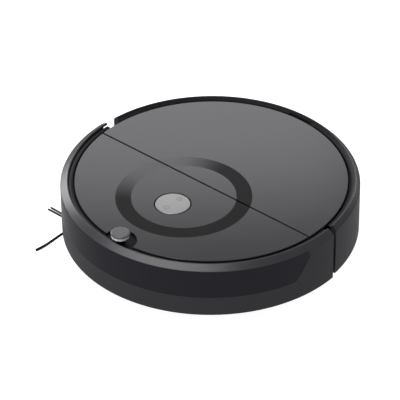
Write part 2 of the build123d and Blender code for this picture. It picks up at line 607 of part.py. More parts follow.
with BuildPart() as bin_cover:
    rounded_block(BIN_X0, BIN_X1, -BIN_HALF, BIN_HALF, BIN_Z1, 74.6, 2.4)
    chamfer(bin_cover.faces().sort_by(Axis.Z)[-1].edges(), length=0.8)
    rounded_block(BIN_X0 + 2.2, BIN_X1 - 2.2, -BIN_HALF + 2.2, BIN_HALF - 2.2, BIN_Z1 - 1.0, 72.4, 1.2,
                  Mode.SUBTRACT)
    # finger recess, with a bar across it
    rounded_block(-115.0, -75.0, -36.0, 36.0, BIN_Z1, 74.0, 7.0)
    rounded_block(-113.0, -77.0, -34.0, 34.0, BIN_Z1 + 1.2, 80.0, 6.0, Mode.SUBTRACT)
    block(-101.0, -89.0, -35.0, 35.0, 71.4, 75.4)
bin_cover.part.label = "bin_cover"
export_step(bin_cover.part, "parts/bin_cover.step")

FILTER_Y0, FILTER_Y1 = 60.0, 68.2
with BuildPart() as filter_frame:
    block(-112.0, -72.0, FILTER_Y0, FILTER_Y1, 38.0, 66.0)
    block(-109.0, -75.0, FILTER_Y0 - 1.0, FILTER_Y1 + 1.0, 41.0, 63.0, Mode.SUBTRACT)
filter_frame.part.label = "filter_frame"
export_step(filter_frame.part, "parts/filter_frame.step")

with BuildPart() as filter_media:
    pleats = 12
    pitch = 33.0 / pleats
    near, far = FILTER_Y0 + 0.6, FILTER_Y1 - 0.8
    front, back = [], []
    for pleat in range(pleats):
        left_x = -108.5 + pitch * pleat
        front += [(left_x, near + 0.7), (left_x + pitch / 2, far)]
        back += [(left_x, near), (left_x + pitch / 2, far - 0.7)]
    front.append((-75.5, near + 0.7))
    back.append((-75.5, near))
    slab(front + back[::-1], 41.4, 62.6)
filter_media.part.label = "filter_media"
export_step(filter_media.part, "parts/filter_media.step")

# ---------------------------------------------------------------------------
# Suction duct between the brush chamber and the dust bin
# ---------------------------------------------------------------------------
with BuildPart() as suction_duct:
    side_slab([(-65.2, 60.0), (-42.0, 60.0), (-42.0, 34.0), (-60.0, 28.0), (-60.0, 38.4), (-65.2, 38.4)],
              -36.8, 36.8)
    side_slab([(-70.0, 58.0), (-44.0, 58.0), (-44.0, 20.0), (-58.0, 20.0), (-58.0, 40.4), (-70.0, 40.4)],
              -34.8, 34.8, Mode.SUBTRACT)
    bar_y(BRUSH_X, BRUSH_Z, -60.0, 60.0, CHAMBER_R + CHAMBER_T + 0.02, Mode.SUBTRACT)
suction_duct.part.label = "suction_duct"
export_step(suction_duct.part, "parts/suction_duct.step")

# ---------------------------------------------------------------------------
# Blower: housing with inlet plenum and outlet, motor, impeller, grille
# ---------------------------------------------------------------------------
with BuildPart() as fan_housing:
    post(FAN_X, FAN_Y, 16.0, 46.0, FAN_R)
    with BuildSketch(Plane.XY.offset(25.0)) as outlet:
        with BuildLine():
            Polyline((FAN_X, 101.0), (FAN_X, 125.0), (-150.0, 125.0), (-150.0, 101.0), close=True)
        make_face()
        with BuildSketch(mode=Mode.INTERSECT):
            Circle(169.8)
    extrude(outlet.sketch, amount=18.0)
    rounded_block(-112.0, -72.0, 72.7, 118.0, 44.0, 64.0, 3.0)
    post(FAN_X, FAN_Y, 18.0, 42.0, FAN_R - 2.0, Mode.SUBTRACT)
    block(-160.0, FAN_X, 103.0, 123.0, 27.0, 41.0, Mode.SUBTRACT)
    block(-109.5, -74.5, 75.0, 115.5, 46.0, 62.0, Mode.SUBTRACT)
    block(-107.8, -76.2, 70.0, 76.0, 46.2, 61.8, Mode.SUBTRACT)
    post(FAN_X, FAN_Y, 40.0, 48.0, 12.0, Mode.SUBTRACT)
    for foot_x, foot_y in ((-76.0, 88.0), (-102.0, 86.0), (-76.0, 112.0)):
        post(foot_x, foot_y, FLOOR_Z + FLOOR_T, 17.0, 3.0)
fan_housing.part.label = "fan_housing"
export_step(fan_housing.part, "parts/fan_housing.step")

with BuildPart() as fan_motor:
    post(FAN_X, FAN_Y, 18.0, 25.0, 13.0)
    post(FAN_X, FAN_Y, 25.0, 36.5, 1.5)
    chamfer(fan_motor.edges().filter_by(GeomType.CIRCLE).group_by(Axis.Z)[1], length=0.8)
fan_motor.part.label = "fan_motor"
export_step(fan_motor.part, "parts/fan_motor.step")

with BuildPart() as fan_impeller:
    post(FAN_X, FAN_Y, 26.0, 27.6, 20.0)
    lathe_at(FAN_X, FAN_Y, [(0, 27.0), (9.0, 27.0), (6.0, 30.5), (4.2, 34.5), (3.0, 37.0), (0, 37.0)])
    for blade in range(9):
        turn = 40.0 * blade
        with BuildSketch(Plane.XY.offset(27.4)) as vane:
            with Locations(Location((FAN_X, FAN_Y, 0), (0, 0, turn))):
                with Locations(Location((12.4, 1.8, 0), (0, 0, 24.0))):
                    Rectangle(14.0, 1.1)
        extrude(vane.sketch, amount=9.0)
    post(FAN_X, FAN_Y, 25.0, 36.6, 1.5 + RUNNING_FIT, Mode.SUBTRACT)
fan_impeller.part.label = "fan_impeller"
export_step(fan_impeller.part, "parts/fan_impeller.step")

with BuildPart() as exhaust_grille:
    with BuildSketch(Plane.XY.offset(27.15)) as grille:
        with BuildLine():
            Polyline((0, 0), polar(190, 133.7), polar(190, 146.3), close=True)
        make_face()
        with BuildSketch(mode=Mode.INTERSECT):
            Circle(BODY_R - 0.2)
        Circle(BODY_R - WALL_T + 0.1, mode=Mode.SUBTRACT)
    extrude(grille.sketch, amount=14.7)
    for slot in range(13):
        azimuth = 135.2 + 0.8 * slot
        with BuildSketch(Plane.XY.offset(28.8)) as gap:
            with Locations(Location((*polar(171.0, azimuth), 0), (0, 0, azimuth))):
                Rectangle(8.0, 1.3)
        extrude(gap.sketch, amount=11.4, mode=Mode.SUBTRACT)
exhaust_grille.part.label = "exhaust_grille"
export_step(exhaust_grille.part, "parts/exhaust_grille.step")

# ---------------------------------------------------------------------------
# Main brush and its drive
# ---------------------------------------------------------------------------
with BuildPart() as brush_core:
    bar_y(BRUSH_X, BRUSH_Z, -BRUSH_HALF, BRUSH_HALF, 9.0)
    bar_y(BRUSH_X, BRUSH_Z, -BRUSH_HALF - 4.5, -BRUSH_HALF, 4.3 - RUNNING_FIT)
brush_core.part.label = "brush_core"
export_step(brush_core.part, "parts/brush_core.step")


def twisted_strips(count, first_azimuth, thickness, outer_r):
    """Return the strips of one half of the brush, twisted along the axle, at the origin."""
    strips = []
    for index in range(count):
        azimuth = math.radians(first_azimuth + 360.0 * index / count)
        radial = Vector(math.cos(azimuth), math.sin(azimuth))
        across = Vector(-math.sin(azimuth), math.cos(azimuth))
        corners = [
            radial * 9.0 - across * (thickness / 2),
            radial * outer_r - across * (thickness / 2),
            radial * outer_r + across * (thickness / 2),
            radial * 9.0 + across * (thickness / 2),
        ]
        section = Face(Wire.make_polygon([(c.X, c.Y, 0.0) for c in corners], close=True))
        strips.append(
            Solid.extrude_linear_with_rotation(section, (0, 0, 0), (0, 0, BRUSH_HALF - 2.7), 50.0)
        )
    return strips


def brush_strips(count, first_azimuth, thickness, outer_r):
    """Return both halves of the strips, set on the brush axle."""
    placed = []
    for strip in twisted_strips(count, first_azimuth, thickness, outer_r):
        left_half = Location((BRUSH_X, 0.2, BRUSH_Z), (-90, 0, 0)) * strip
        placed.append(left_half)
        placed.append(left_half.mirror(Plane.XZ))
    return placed


fin_strips = brush_strips(3, 30.0, 1.4, 17.6)
bristle_strips = brush_strips(3, 90.0, 2.0, BRUSH_R)

with BuildPart() as brush_fins:
    for strip in fin_strips:
        add(strip)
brush_fins.part.label = "brush_fins"
export_step(brush_fins.part, "parts/brush_fins.step")

with BuildPart() as brush_bristles:
    for strip in bristle_strips:
        add(strip)
brush_bristles.part.label = "brush_bristles"
export_step(brush_bristles.part, "parts/brush_bristles.step")

to_idler = math.degrees(math.atan2(IDLER_Z - BRUSH_Z, IDLER_X - BRUSH_X))
to_pinion = math.degrees(math.atan2(PINION_Z - IDLER_Z, PINION_X - IDLER_X))
idler_tooth = to_idler + 180.0 + 180.0 / IDLER_TEETH
idler_pitch = 360.0 / IDLER_TEETH
idler_offset = (to_pinion - idler_tooth) % idler_pitch
pinion_tooth = (to_pinion + 180.0 + idler_offset * IDLER_TEETH / PINION_TEETH + 180.0 / PINION_TEETH)

with BuildPart() as brush_gear:
    spur_gear(BRUSH_X, BRUSH_Z, BRUSH_TEETH, to_idler, GEAR_Y0, GEAR_Y1)
    bar_y(BRUSH_X, BRUSH_Z, BRUSH_HALF, GEAR_Y0 + 0.5, 4.3 - RUNNING_FIT)
brush_gear.part.label = "brush_gear"
export_step(brush_gear.part, "parts/brush_gear.step")

with BuildPart() as idler_gear:
    spur_gear(IDLER_X, IDLER_Z, IDLER_TEETH, idler_tooth, GEAR_Y0 + 0.2, GEAR_Y1 - 0.2)
    bar_y(IDLER_X, IDLER_Z, GEAR_Y0 - 1.0, GEAR_Y1 + 1.0, 2.0 + RUNNING_FIT, Mode.SUBTRACT)
idler_gear.part.label = "idler_gear"
export_step(idler_gear.part, "parts/idler_gear.step")

with BuildPart() as motor_pinion:
    spur_gear(PINION_X, PINION_Z, PINION_TEETH, pinion_tooth, GEAR_Y0 + 0.2, GEAR_Y1 - 0.2)
    bar_y(PINION_X, PINION_Z, 68.0, GEAR_Y0 + 1.0, 1.6)
motor_pinion.part.label = "motor_pinion"
export_step(motor_pinion.part, "parts/motor_pinion.step")

with BuildPart() as brush_gearbox:
    with BuildSketch(Plane.XZ.offset(-BOX_Y1)) as case:
        for x, z, radius in ((BRUSH_X, BRUSH_Z, 9.9), (IDLER_X, IDLER_Z, 15.0), (PINION_X, PINION_Z, 9.0)):
            with Locations((x, z)):
                Circle(radius)
        make_hull()
    extrude(case.sketch, amount=BOX_Y1 - BOX_Y0)
    for x, z, radius in ((BRUSH_X, BRUSH_Z, 9.4), (IDLER_X, IDLER_Z, 13.6), (PINION_X, PINION_Z, 7.6)):
        bar_y(x, z, BOX_Y0 + 1.2, BOX_Y1 - 1.4, radius, Mode.SUBTRACT)
    bar_y(BRUSH_X, BRUSH_Z, BOX_Y0 - 1.0, BOX_Y0 + 2.0, 4.6, Mode.SUBTRACT)
    bar_y(PINION_X, PINION_Z, BOX_Y0 - 1.0, BOX_Y0 + 2.0, 2.2, Mode.SUBTRACT)
    bar_y(IDLER_X, IDLER_Z, BOX_Y0 + 0.5, BOX_Y1 - 0.5, 2.0)
brush_gearbox.part.label = "brush_gearbox"
export_step(brush_gearbox.part, "parts/brush_gearbox.step")

with BuildPart() as brush_motor:
    bar_y(PINION_X, PINION_Z, 52.0, BOX_Y0, 10.6)
    chamfer(brush_motor.edges().filter_by(GeomType.CIRCLE), length=0.8)
    bar_y(PINION_X, PINION_Z, 67.0, BOX_Y0 + 1.0, 1.6 + RUNNING_FIT, Mode.SUBTRACT)
    bar_y(PINION_X, PINION_Z, 49.0, 52.0, 4.0)
brush_motor.part.label = "brush_motor"
export_step(brush_motor.part, "parts/brush_motor.step")

# ---------------------------------------------------------------------------
# Brush cover with two sliding latches
# ---------------------------------------------------------------------------
with BuildPart() as brush_cover:
    rounded_block(-60.0, -16.4, -86.0, 86.0, 7.0, 8.9, 4.0)
    chamfer(brush_cover.faces().sort_by(Axis.Z)[0].edges(), length=0.8)
    rounded_block(-55.0, -21.0, -77.0, 77.0, 5.0, 10.0, 2.0, Mode.SUBTRACT)
    for side in (-1, 1):
        low, high = sorted((side * 79.0, side * 84.4))
        block(-48.0, -28.0, low, high, 5.0, 10.0, Mode.SUBTRACT)
brush_cover.part.label = "brush_cover"
export_step(brush_cover.part, "parts/brush_cover.step")

with BuildPart() as cover_latch_left:
    block(-46.0, -34.0, 79.4, 84.0, 6.6, 8.6)
    for grip in range(4):
        block(-44.4 + 2.6 * grip, -43.4 + 2.6 * grip, 79.4, 84.0, 6.3, 6.7)
cover_latch_left.part.label = "cover_latch_left"
export_step(cover_latch_left.part, "parts/cover_latch_left.step")

with BuildPart() as cover_latch_right:
    block(-46.0, -34.0, -84.0, -79.4, 6.6, 8.6)
    for grip in range(4):
        block(-44.4 + 2.6 * grip, -43.4 + 2.6 * grip, -84.0, -79.4, 6.3, 6.7)
cover_latch_right.part.label = "cover_latch_right"
export_step(cover_latch_right.part, "parts/cover_latch_right.step")

# ---------------------------------------------------------------------------
# Side brush: motor, hub, five bristle arms, screw
# ---------------------------------------------------------------------------
with BuildPart() as side_brush_motor:
    post(SIDE_X, SIDE_Y, 14.6, 30.0, 14.0)
    post(SIDE_X, SIDE_Y, 30.0, 46.0, 9.0)
    post(SIDE_X, SIDE_Y, 10.0, 24.0, 3.4 + RUNNING_FIT, Mode.SUBTRACT)
side_brush_motor.part.label = "side_brush_motor"
export_step(side_brush_motor.part, "parts/side_brush_motor.step")

with BuildPart() as side_brush_hub:
    lathe_at(SIDE_X, SIDE_Y, [(0, 3.4), (9.0, 3.4), (11.2, 4.6), (12.0, 6.0), (12.0, 8.0), (11.0, 8.5), (0, 8.5)])
    post(SIDE_X, SIDE_Y, 8.0, 23.0, 3.4)
    post(SIDE_X, SIDE_Y, 3.0, 4.6, 2.8, Mode.SUBTRACT)
side_brush_hub.part.label = "side_brush_hub"
export_step(side_brush_hub.part, "parts/side_brush_hub.step")

with BuildPart() as side_brush_screw:
    post(SIDE_X, SIDE_Y, 3.1, 4.6, 2.6)
    block(SIDE_X - 1.7, SIDE_X + 1.7, SIDE_Y - 0.3, SIDE_Y + 0.3, 2.9, 3.6, Mode.SUBTRACT)
    block(SIDE_X - 0.3, SIDE_X + 0.3, SIDE_Y - 1.7, SIDE_Y + 1.7, 2.9, 3.6, Mode.SUBTRACT)
side_brush_screw.part.label = "side_brush_screw"
export_step(side_brush_screw.part, "parts/side_brush_screw.step")

with BuildPart() as side_brush_bristles:
    for arm in range(5):
        azimuth = SIDE_ARM_DEG + 72.0 * arm
        with Locations(Location((SIDE_X, SIDE_Y, 0), (0, 0, azimuth))):
            with Locations((17.2, 0, 6.0)):
                Box(10.0, 5.4, 2.6)
        for strand in (-1, 1):
            start = Vector(21.8, strand * 1.5, 6.0).rotate(Axis.Z, azimuth) + Vector(SIDE_X, SIDE_Y, 0)
            middle = Vector(47.0, strand * 1.9, 3.6).rotate(Axis.Z, azimuth) + Vector(SIDE_X, SIDE_Y, 0)
            end = Vector(SIDE_ARM_R, strand * 2.2, 1.6).rotate(Axis.Z, azimuth) + Vector(SIDE_X, SIDE_Y, 0)
            with BuildLine() as path:
                Spline(start, middle, end)
            with BuildSketch(Plane(origin=path.line @ 0, z_dir=path.line % 0)) as section:
                Circle(0.7)
            sweep(section.sketch, path=path.line)
side_brush_bristles.part.label = "side_brush_bristles"
export_step(side_brush_bristles.part, "parts/side_brush_bristles.step")

# ---------------------------------------------------------------------------
# Drive wheels on swinging arms; the right side mirrors the left
# ---------------------------------------------------------------------------
TREADS = 30


def tread_outline():
    """Return the outline of the treaded tyre about its axle, with a lug at the bottom."""
    points = []
    for lug in range(TREADS):
        centre = 270.0 + 360.0 * lug / TREADS
        for offset, radius in ((-3.6, 33.6), (-2.6, WHEEL_R), (2.6, WHEEL_R), (3.6, 33.6)):
            angle = math.radians(centre + offset)
            points.append((radius * math.cos(angle), WHEEL_Z + radius * math.sin(angle)))
    return points


for name, mirror_side in (("left", 1), ("right", -1)):
    with BuildPart() as swing_arm:
        low, high = sorted((mirror_side * ARM_Y0, mirror_side * ARM_Y1))
        bar_y(PIVOT_X, PIVOT_Z, low, high, 7.0)
        bar_y(0, WHEEL_Z, low, high, 13.4)
        beam_low, beam_high = sorted((mirror_side * 82.0, mirror_side * ARM_Y1))
        side_slab([(0.0, 28.0), (PIVOT_X, 30.0), (PIVOT_X, 42.0), (0.0, 44.0)], beam_low, beam_high)
        seat_low, seat_high = sorted((mirror_side * 80.5, mirror_side * 91.5))
        block(10.5, 21.5, seat_low, seat_high, 40.0, 47.0)
        axle_low, axle_high = sorted((mirror_side * 94.0, mirror_side * 116.2))
        bar_y(0, WHEEL_Z, axle_low, axle_high, 3.0)
        bore_low, bore_high = sorted((mirror_side * 70.0, mirror_side * 100.0))
        bar_y(PIVOT_X, PIVOT_Z, bore_low, bore_high, PIVOT_R + RUNNING_FIT, Mode.SUBTRACT)
    swing_arm.part.label = name + "_swing_arm"
    export_step(swing_arm.part, "parts/" + name + "_swing_arm.step")

    with BuildPart() as wheel_motor:
        low, high = sorted((mirror_side * 67.0, mirror_side * ARM_Y0))
        bar_y(0, WHEEL_Z, low, high, 11.0)
    wheel_motor.part.label = name + "_wheel_motor"
    export_step(wheel_motor.part, "parts/" + name + "_wheel_motor.step")

    with BuildPart() as wheel_hub:
        rim = [(97.4, 25.6), (118.6, 25.6), (118.6, 28.0), (97.4, 28.0)]
        boss = [(97.4, 3.0 + RUNNING_FIT), (116.6, 3.0 + RUNNING_FIT), (116.6, 0.01), (118.0, 0.01),
                (118.0, 6.0), (116.0, 8.0), (97.4, 8.0)]
        web = [(107.0, 7.5), (111.0, 7.5), (111.0, 26.0), (107.0, 26.0)]
        for outline_points in (rim, web, boss):
            lathe_y(0, WHEEL_Z, [(mirror_side * y, r) for y, r in outline_points])
        for hole in range(6):
            angle = math.radians(60.0 * hole + 30.0)
            low, high = sorted((mirror_side * 104.0, mirror_side * 114.0))
            bar_y(17.0 * math.cos(angle), WHEEL_Z + 17.0 * math.sin(angle), low, high, 5.4, Mode.SUBTRACT)
    wheel_hub.part.label = name + "_wheel_hub"
    export_step(wheel_hub.part, "parts/" + name + "_wheel_hub.step")

    with BuildPart() as tyre:
        low, high = sorted((mirror_side * WHEEL_Y0, mirror_side * WHEEL_Y1))
        side_slab(tread_outline(), low, high)
        bar_y(0, WHEEL_Z, low - 1.0, high + 1.0, 28.0, Mode.SUBTRACT)
    tyre.part.label = name + "_tyre"
    export_step(tyre.part, "parts/" + name + "_tyre.step")

    with BuildPart() as swing_spring:
        coil(16.0, mirror_side * 86.0, 47.5, 23.2, 4.0, 0.9, 8, (0, 0, 1))
    swing_spring.part.label = name + "_swing_spring"
    export_step(swing_spring.part, "parts/" + name + "_swing_spring.step")

with BuildPart() as swing_pins:
    bar_y(PIVOT_X, PIVOT_Z, 70.8, 99.2, PIVOT_R)
    bar_y(PIVOT_X, PIVOT_Z, -99.2, -70.8, PIVOT_R)
swing_pins.part.label = "swing_pins"
export_step(swing_pins.part, "parts/swing_pins.step")

# ---------------------------------------------------------------------------
# Caster
# ---------------------------------------------------------------------------
CASTER_WHEEL_X = CASTER_X - CASTER_TRAIL

with BuildPart() as caster_fork:
    post(CASTER_X, 0, 25.0, 28.0, 17.0)
    post(CASTER_X, 0, 27.0, 39.0, 3.5)
    for side in (-1, 1):
        low, high = sorted((side * 7.6, side * 10.4))
        block(CASTER_WHEEL_X - 5.0, CASTER_WHEEL_X + 5.0, low, high, CASTER_R, 26.0)
        bar_y(CASTER_WHEEL_X, CASTER_R, low, high, 5.0)
    bar_y(CASTER_WHEEL_X, CASTER_R, -10.4, 10.4, 1.5)
caster_fork.part.label = "caster_fork"
export_step(caster_fork.part, "parts/caster_fork.step")

with BuildPart() as caster_wheel:
    lathe_y(CASTER_WHEEL_X, CASTER_R, [(-7.0, 1.5 + RUNNING_FIT), (-7.0, 9.6), (-6.0, 10.9), (-4.4, 11.7),
                                       (-2.4, CASTER_R), (2.4, CASTER_R), (4.4, 11.7), (6.0, 10.9),
                                       (7.0, 9.6), (7.0, 1.5 + RUNNING_FIT)])
caster_wheel.part.label = "caster_wheel"
export_step(caster_wheel.part, "parts/caster_wheel.step")

# ---------------------------------------------------------------------------
# Electronics, battery, small fixed pieces
# ---------------------------------------------------------------------------
with BuildPart() as main_board:
    rounded_block(5.0, 112.0, -64.0, 64.0, 42.0, 43.6, 3.0)
    components = (
        (30, 20, 16, 16, 2.4), (62, -8, 12, 12, 1.8), (86, 24, 10, 14, 2.0), (40, -34, 9, 9, 1.6),
        (72, -40, 20, 8, 7.0), (98, -26, 8, 16, 8.0), (20, -14, 10, 14, 5.0), (54, 44, 14, 10, 6.0),
    )
    for cx, cy, size_x, size_y, height in components:
        block(cx - size_x / 2, cx + size_x / 2, cy - size_y / 2, cy + size_y / 2, 43.6, 43.6 + height)
    for cx, cy in ((84, 50), (94, 50), (14, 40), (14, 52)):
        post(cx, cy, 43.6, 54.0, 3.6)
main_board.part.label = "main_board"
export_step(main_board.part, "parts/main_board.step")

with BuildPart() as battery_pack:
    rounded_block(20.0, 92.0, -60.0, 60.0, 11.8, 32.0, 5.0)
    chamfer(battery_pack.faces().sort_by(Axis.Z)[-1].edges(), length=2.0)
battery_pack.part.label = "battery_pack"
export_step(battery_pack.part, "parts/battery_pack.step")

with BuildPart() as battery_door:
    rounded_block(18.2, 93.8, -62.8, 62.8, FLOOR_Z, FLOOR_Z + FLOOR_T, 3.8)
    chamfer(battery_door.faces().sort_by(Axis.Z)[0].edges(), length=0.6)
    for rib in range(6):
        block(30.0 + 2.0 * rib, 31.0 + 2.0 * rib, -14.0, 14.0, FLOOR_Z - 0.6, FLOOR_Z + 0.1)
battery_door.part.label = "battery_door"
export_step(battery_door.part, "parts/battery_door.step")

with BuildPart() as sensor_windows:
    for azimuth, radius in ((20, 140), (-20, 140), (62, 138), (-72, 140)):
        sx, sy = polar(radius, azimuth)
        with BuildSketch(Plane.XY.offset(FLOOR_Z + 0.2)) as lens:
            with Locations(Location((sx, sy, 0), (0, 0, azimuth + 90))):
                RectangleRounded(19.8, 8.8, 1.9)
        extrude(lens.sketch, amount=4.0)
    post(1.0, -44.0, FLOOR_Z + 0.2, 14.0, 7.9)
sensor_windows.part.label = "sensor_windows"
export_step(sensor_windows.part, "parts/sensor_windows.step")

with BuildPart() as charge_contacts:
    for side in (-1, 1):
        with BuildSketch(Plane.XY.offset(FLOOR_Z - 0.4)) as contact:
            with Locations((112.0, side * 42.0)):
                RectangleRounded(11.8, 19.8, 2.9)
        extrude(contact.sketch, amount=3.0)
charge_contacts.part.label = "charge_contacts"
export_step(charge_contacts.part, "parts/charge_contacts.step")

with BuildPart() as case_screws:
    for azimuth in SCREW_AZIMUTHS:
        sx, sy = polar(SCREW_R, azimuth)
        post(sx, sy, 12.8, 14.2, 3.0)
        post(sx, sy, 14.2, 30.0, 1.5)
    for azimuth in SCREW_AZIMUTHS:
        sx, sy = polar(SCREW_R, azimuth)
        block(sx - 1.6, sx + 1.6, sy - 0.3, sy + 0.3, 12.6, 13.4, Mode.SUBTRACT)
        block(sx - 0.3, sx + 0.3, sy - 1.6, sy + 1.6, 12.6, 13.4, Mode.SUBTRACT)
case_screws.part.label = "case_screws"
export_step(case_screws.part, "parts/case_screws.step")

with BuildPart() as speaker:
    post(92.0, 93.0, FLOOR_Z + FLOOR_T, 15.0, 14.0)
    lathe_at(92.0, 93.0, [(0, 14.0), (12.0, 14.0), (12.0, 17.0), (8.0, 22.0), (0, 22.0)])
speaker.part.label = "speaker"
export_step(speaker.part, "parts/speaker.step")
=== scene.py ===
import json
import math
import random

import bmesh
import bpy
from mathutils import Matrix, Vector


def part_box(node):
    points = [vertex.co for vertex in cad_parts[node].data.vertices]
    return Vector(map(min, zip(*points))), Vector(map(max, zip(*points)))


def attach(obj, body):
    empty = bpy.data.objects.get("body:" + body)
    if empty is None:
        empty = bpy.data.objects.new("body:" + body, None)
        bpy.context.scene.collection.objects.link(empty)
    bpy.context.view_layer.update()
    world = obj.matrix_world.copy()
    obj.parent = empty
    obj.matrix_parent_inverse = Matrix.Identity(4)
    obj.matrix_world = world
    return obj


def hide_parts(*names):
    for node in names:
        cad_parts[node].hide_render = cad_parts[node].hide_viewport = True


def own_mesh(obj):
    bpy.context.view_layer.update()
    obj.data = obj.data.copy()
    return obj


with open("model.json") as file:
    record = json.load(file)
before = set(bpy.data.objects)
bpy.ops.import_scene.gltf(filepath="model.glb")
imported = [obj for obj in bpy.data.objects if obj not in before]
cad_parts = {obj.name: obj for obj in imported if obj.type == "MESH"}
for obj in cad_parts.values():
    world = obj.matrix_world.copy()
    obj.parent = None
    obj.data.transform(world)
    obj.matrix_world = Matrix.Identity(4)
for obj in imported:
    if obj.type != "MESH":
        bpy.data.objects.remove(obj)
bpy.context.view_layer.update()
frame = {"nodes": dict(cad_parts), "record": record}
nodes = frame["nodes"]
scene = bpy.context.scene
scene.view_settings.view_transform = "Standard"

MM = 0.001  # metres in a millimetre

# ---------------------------------------------------------------------------
# Camera
# ---------------------------------------------------------------------------
PLATE_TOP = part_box("rear_lid")[1].z
CAMERA_AZIMUTH = math.radians(131.5)
CAMERA_ELEVATION = math.radians(36.12)
CAMERA_ROLL = math.radians(-0.65)
CAMERA_DISTANCE = 3.0
CAMERA_LENS = 233.3
# how far the middle of the picture lies left of and below the middle of the plates
AIM_LEFT, AIM_DOWN = 0.01327, 0.02556

back = Vector((math.sin(CAMERA_AZIMUTH) * math.cos(CAMERA_ELEVATION),
               -math.cos(CAMERA_AZIMUTH) * math.cos(CAMERA_ELEVATION),
               math.sin(CAMERA_ELEVATION)))
right = Vector((0, 0, 1)).cross(back).normalized()
up = back.cross(right)
target = Vector((0, 0, PLATE_TOP)) - right * AIM_LEFT - up * AIM_DOWN
camera_data = bpy.data.cameras.new("camera")
camera_data.lens = CAMERA_LENS
camera_data.sensor_width = 36.0
camera_data.clip_end = 50.0
camera = bpy.data.objects.new("camera", camera_data)
scene.collection.objects.link(camera)
turn = Matrix((right, up, back)).transposed().to_4x4()
place = Matrix.Translation(target + back * CAMERA_DISTANCE)
camera.matrix_world = place @ turn @ Matrix.Rotation(CAMERA_ROLL, 4, "Z")
scene.camera = camera


# ---------------------------------------------------------------------------
# Materials
# ---------------------------------------------------------------------------
def new_material(name):
    """An empty material with one Principled shader."""
    material = bpy.data.materials.new(name)
    material.use_nodes = True
    tree = material.node_tree
    tree.nodes.clear()
    output = tree.nodes.new("ShaderNodeOutputMaterial")
    shader = tree.nodes.new("ShaderNodeBsdfPrincipled")
    tree.links.new(shader.outputs["BSDF"], output.inputs["Surface"])
    return material, tree, shader


BLUE_TINT = 0.004
CLOUD_SCALE = 14.0
GRAIN_DEPTH = 0.2 * MM
SMOOTHEST = 0.02
# inputs of a Mix node, by the kind of value that it mixes
MIX_SHARE, FLOAT_A, FLOAT_B, COLOUR_A, COLOUR_B = 0, 2, 3, 6, 7
MIX_COLOUR = 2


def grey(level):
    return (level, level, level + BLUE_TINT, 1.0)


def plastic(name, dark, light, roughness, spread=0.05, grain=900.0, bump=0.04, specular=0.5, metallic=0.0):
    """Moulded plastic or paint: cloudy colour variation, fine grain in the bump, uneven roughness."""
    material, tree, shader = new_material(name)
    make = tree.nodes.new
    link = tree.links.new
    place = make("ShaderNodeTexCoord")
    clouds = make("ShaderNodeTexNoise")
    clouds.inputs["Scale"].default_value = CLOUD_SCALE
    clouds.inputs["Detail"].default_value = 5.0
    link(place.outputs["Object"], clouds.inputs["Vector"])
    colour = make("ShaderNodeMix")
    colour.data_type = "RGBA"
    colour.inputs[COLOUR_A].default_value = dark
    colour.inputs[COLOUR_B].default_value = light
    link(clouds.outputs["Fac"], colour.inputs[MIX_SHARE])
    link(colour.outputs[MIX_COLOUR], shader.inputs["Base Color"])
    gloss = make("ShaderNodeMapRange")
    gloss.inputs["To Min"].default_value = max(SMOOTHEST, roughness - spread)
    gloss.inputs["To Max"].default_value = min(1.0, roughness + spread)
    link(clouds.outputs["Fac"], gloss.inputs["Value"])
    link(gloss.outputs["Result"], shader.inputs["Roughness"])
    fine = make("ShaderNodeTexNoise")
    fine.inputs["Scale"].default_value = grain
    fine.inputs["Detail"].default_value = 2.0
    link(place.outputs["Object"], fine.inputs["Vector"])
    relief = make("ShaderNodeBump")
    relief.inputs["Strength"].default_value = bump
    relief.inputs["Distance"].default_value = GRAIN_DEPTH
    link(fine.outputs["Fac"], relief.inputs["Height"])
    link(relief.outputs["Normal"], shader.inputs["Normal"])
    shader.inputs["Specular IOR Level"].default_value = specular
    shader.inputs["Metallic"].default_value = metallic
    return material


